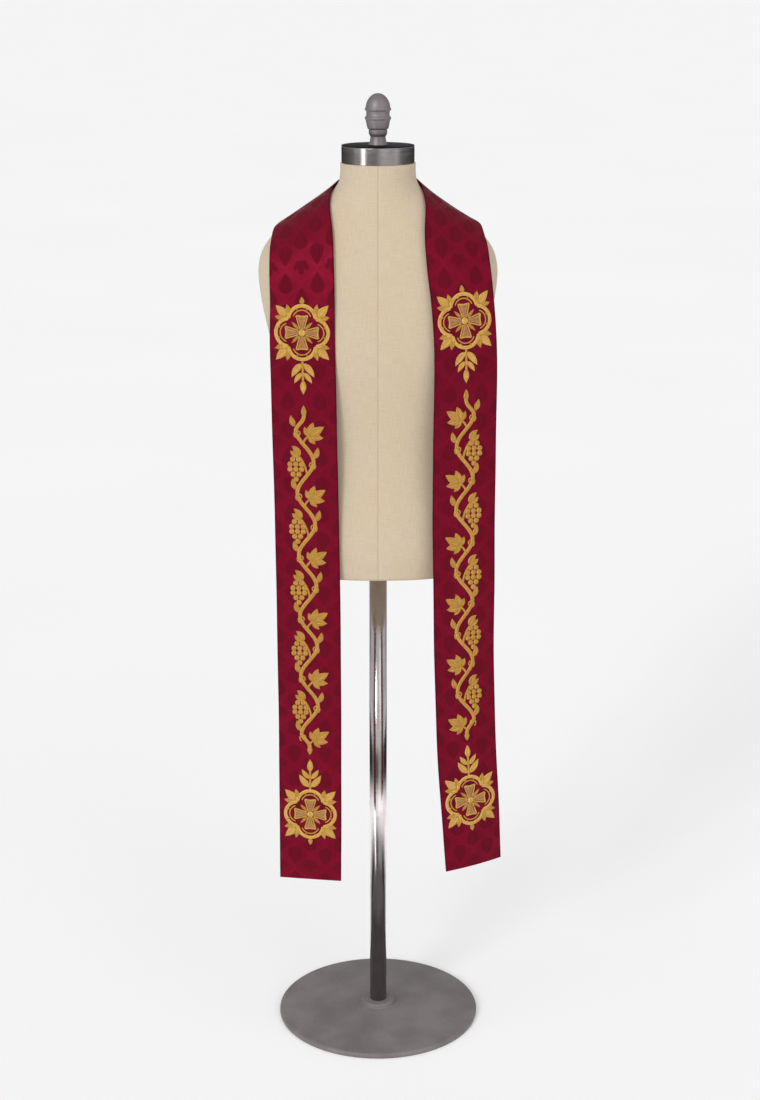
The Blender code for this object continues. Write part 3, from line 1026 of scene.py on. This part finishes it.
def make_neck_band(steel, dark):
    """A brushed steel hoop round the neck's top, and the dark plate that closes it."""
    low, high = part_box("neck_band")
    radius, top = high.x, high.z - PLATE_WALL
    hoop = [(0.0, top), (radius - CAP_HOLD, top), (radius - CAP_CORNER, top)]
    hoop += [(radius, top - CAP_CORNER), (radius, top - CAP_HOLD)]
    hoop += [(radius, low.z + CAP_HOLD), (radius, low.z + CAP_CORNER)]
    hoop += [(radius - CAP_CORNER, low.z), (radius - CAP_HOLD, low.z), (0.0, low.z)]
    rim = radius - LID_INSET
    lid = [(0.0, high.z), (radius - CAP_HOLD, high.z), (radius - CAP_CORNER, high.z - LID_INSET)]
    lid += [(rim, high.z - CAP_CORNER), (rim, top), (0.0, top - LID_INSET)]
    return turned("neck_cap", hoop, steel, 160), turned("neck_plate", lid, dark, 160)


KNOB_DOME_FOOT = 0.0600
KNOB_DOME_INSET = 0.0015
KNOB_DOME_RISE = 0.0265
KNOB_RADIUS = 0.0229
KNOB_PROFILE = (  # radius, height over the neck band
    (KNOB_RADIUS, 0.0605),
    (KNOB_RADIUS - 0.0004, 0.0585),
    (KNOB_RADIUS - 0.0030, 0.0560),
    (KNOB_RADIUS - 0.0030, 0.0490),
    (KNOB_RADIUS, 0.0460),
    (KNOB_RADIUS - 0.0004, 0.0435),
    (KNOB_RADIUS - 0.0018, 0.0420),
    (0.0195, 0.0340),
    (0.0180, 0.0268),
    (0.0155, 0.0262),
    (0.0160, 0.0240),
    (0.0158, 0.0175),
    (0.0130, 0.0145),
    (0.0132, 0.0120),
    (0.0142, 0.0060),
    (0.0162, 0.0),
)


def make_knob(material):
    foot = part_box("neck_knob")[0].z
    reach = KNOB_RADIUS - KNOB_DOME_INSET
    dome = [
        (reach * math.cos(turn), KNOB_DOME_FOOT + KNOB_DOME_RISE * math.sin(turn))
        for turn in np.radians(np.linspace(90, 6, 15))
    ]
    profile = rounded([(radius, foot + height) for radius, height in dome + list(KNOB_PROFILE)])
    return turned("knob", profile, material, 96)


def make_pole(material):
    low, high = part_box("stand_pole")
    return turned("pole", [(high.x, high.z), (high.x, low.z)], material, 64)


BOSS_RADIUS = 0.032  # under the pole
BOSS_FOOT = 0.016  # where the base's top meets it
BASE_EDGE = 0.005  # the radius of the rolled rim


def make_base(material):
    """The round foot: a rolled rim, a slight slope and the boss under the pole."""
    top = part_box("stand_base")[1]
    boss, foot, rim = BOSS_RADIUS, BOSS_FOOT, top.x - BASE_EDGE
    profile = [(0.0, top.z), (boss - 0.004, top.z), (boss - 0.0006, top.z - 0.0012)]
    profile += [(boss, top.z - 0.004), (boss, foot + 0.002), (boss + 0.0006, foot + 0.0006)]
    profile += [(boss + 0.003, foot), (rim, 2 * BASE_EDGE)]
    for turn in np.radians(np.linspace(75, 0, 6)):
        profile.append((rim + BASE_EDGE * math.cos(turn), BASE_EDGE * (1 + math.sin(turn))))
    profile += [(top.x, 0.001), (top.x - 0.001, 0.0), (0.0, 0.0)]
    return turned("base", profile, material, 160)


# ---- the studio ----

CAMERA_PLACE = (0.0035, -3.53, 1.9415)
CAMERA_TILT = 16.05  # degrees down from level
CAMERA_SENSOR = 24.0
CAMERA_LENS = 44.14
SKY = 0.74
HORIZON = 0.93  # as bright as the floor
SKY_FOOT = -0.04  # the sky's lowest z
SKY_LOSS = 0.5  # share of the sky's light lost behind
FLOOR_GLOW = 1.6  # in reflections about 27 degrees down
DIM = 0.02  # the studio below the horizon
STRIP_LIGHTS = (  # azimuth from the front, half width and strength
    (-47, 3.8, 6.5),
    (-70, 12, 0.34),
    (-24, 15, 0.13),
    (14, 14, 0.46),
    (35, 14, 0.38),
    (60, 13, 0.46),
)
SUNS = (  # name, strength, spread, angle from overhead, azimuth from the front
    ("key", 1.30, 20, 66, -32),
    ("fill", 0.35, 40, 62, 40),
)


def make_camera():
    camera = bpy.data.objects.new("camera", bpy.data.cameras.new("camera"))
    camera.data.sensor_fit = "VERTICAL"
    camera.data.sensor_height = CAMERA_SENSOR
    camera.data.lens = CAMERA_LENS
    camera.data.clip_end = 1000
    camera.location = CAMERA_PLACE
    camera.rotation_euler = (math.radians(90 - CAMERA_TILT), 0, 0)
    bpy.context.scene.collection.objects.link(camera)
    bpy.context.scene.camera = camera


def make_floor():
    bpy.ops.mesh.primitive_plane_add(size=600)
    floor = bpy.context.object
    floor.name = "floor"
    floor.data.materials.append(floor_material())
    floor.visible_glossy = False


def make_sun(name, strength, spread, overhead, azimuth):
    light = bpy.data.objects.new(name, bpy.data.lights.new(name, "SUN"))
    light.data.energy = strength
    light.data.angle = math.radians(spread)
    light.rotation_euler = (math.radians(overhead), 0, math.radians(azimuth))
    bpy.context.scene.collection.objects.link(light)


def make_world():
    """A pale sky, dimmer behind; below it, reflections see a dark studio with strip lights."""
    world = bpy.data.worlds.new("studio")
    bpy.context.scene.world = world
    world.use_nodes = True
    nodes = Nodes(world.node_tree)
    way = nodes.node("TexCoord", {}).outputs["Generated"]
    x, y, z = nodes.node("SeparateXYZ", {"Vector": way}).outputs
    azimuth = nodes.sum("ARCTAN2", x, nodes.times(y, -1.0))

    def strip(centre, half, power):
        """A light of that strength round one azimuth, in degrees from the front."""
        off = nodes.sum("DIVIDE", nodes.less(azimuth, math.radians(centre)), math.radians(half))
        fall = nodes.times(nodes.times(off, off), -1.0)
        return nodes.times(nodes.sum("EXPONENT", fall), power)

    below = DIM
    for light in STRIP_LIGHTS:
        below = nodes.sum("ADD", below, strip(*light))
    glow = nodes.less(nodes.step(z, -0.78, -0.55), nodes.step(z, -0.48, -0.30))
    below = nodes.line(glow, FLOOR_GLOW, below)
    backdrop = nodes.times(nodes.step(y, 0.0, 0.6), nodes.inverse(nodes.step(z, 0.45, 0.85)))
    sky = nodes.line(backdrop, -SKY_LOSS * SKY, SKY)
    haze = nodes.inverse(nodes.step(z, 0.04, 0.20))
    sky = nodes.line(haze, nodes.less(HORIZON, sky), sky)
    above = nodes.sum("GREATER_THAN", z, SKY_FOOT)
    level = nodes.line(above, sky, nodes.times(nodes.inverse(above), below))
    background = world.node_tree.nodes["Background"]
    world.node_tree.links.new(level, background.inputs["Strength"])
    background.inputs["Color"].default_value = (1.0, 1.0, 1.0, 1.0)


# ---- the whole ----

# Each paint's darker and lighter colour, grain and its depth, gloss and metallic share.
PAINTS = (
    ("grey_paint", (116, 108, 110), (136, 127, 130), 900.0, 0.00008, 0.5, 0.55),
    ("grey_cast_iron", (104, 98, 98), (128, 121, 121), 420.0, 0.0004, 0.4, 0.0),
    ("dark_plate", (12, 11, 14), (18, 17, 21), 700.0, 0.0001, 0.03, 0.0),
)

# Each thread's colour at a stroke's middle, at its rim with painted sheen, and for its dull bundles
# and painted shade, in the slots' order.
THREADS = (
    ("old_gold_thread", (186, 145, 33), (221, 161, 91), (134, 89, 21)),
    ("pale_gold_thread", (209, 170, 50), (239, 186, 115), (152, 105, 33)),
    ("bronze_thread", (172, 122, 66), (196, 146, 92), (116, 78, 40)),
)

# Each band's rows, side, creases and the phase of its waves; the middle of its
# upper motif, up from the hem; and where the damask's repeat starts.
BANDS = (
    ("left", LEFT_BAND, -1, LEFT_CREASES, 0.4, 1.016, 0.0230),
    ("right", RIGHT_BAND, 1, RIGHT_CREASES, 2.3, 1.008, 0.0070),
)


def main():
    lining, linen = lining_material(), linen_material()
    steel = steel_material()
    paint, iron, plate = (
        paint_material(name, srgb(*dark), srgb(*light), *surface)
        for name, dark, light, *surface in PAINTS
    )
    threads = [
        thread_material(name, *(srgb(*colour) for colour in colours)) for name, *colours in THREADS
    ]
    torso = make_torso_cover(linen)
    cap, cap_plate = make_neck_band(steel, plate)
    knob, pole, base = make_knob(paint), make_pole(steel), make_base(iron)
    pieces = [(torso, "form_torso", "cream_linen"), (cap, "neck_band", "brushed_steel")]
    pieces += [(knob, "neck_knob", "grey_paint"), (pole, "stand_pole", "brushed_steel")]
    pieces += [(base, "stand_base", "grey_paint"), (cap_plate, None, "grey_paint")]
    for name, *shape, upper_motif, repeat_start in BANDS:
        band, node = Band(*shape), "stole_band_" + name
        damask = damask_material("crimson_damask_" + name, repeat_start)
        cloth = make_cloth("stole_cloth_" + name, band, damask, lining)
        stitches = make_embroidery("embroidery_" + name, band, upper_motif, threads)
        pieces += [(cloth, node, "crimson_damask"), (stitches, None, "crimson_damask")]
        finished = band.finished_length()
    for piece, node, slot in pieces:
        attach(piece, "root")
        if node:
            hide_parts(node)
    make_camera()
    make_floor()
    make_world()
    for settings in SUNS:
        make_sun(*settings)
    bpy.context.scene.view_settings.view_transform = "Standard"


main()
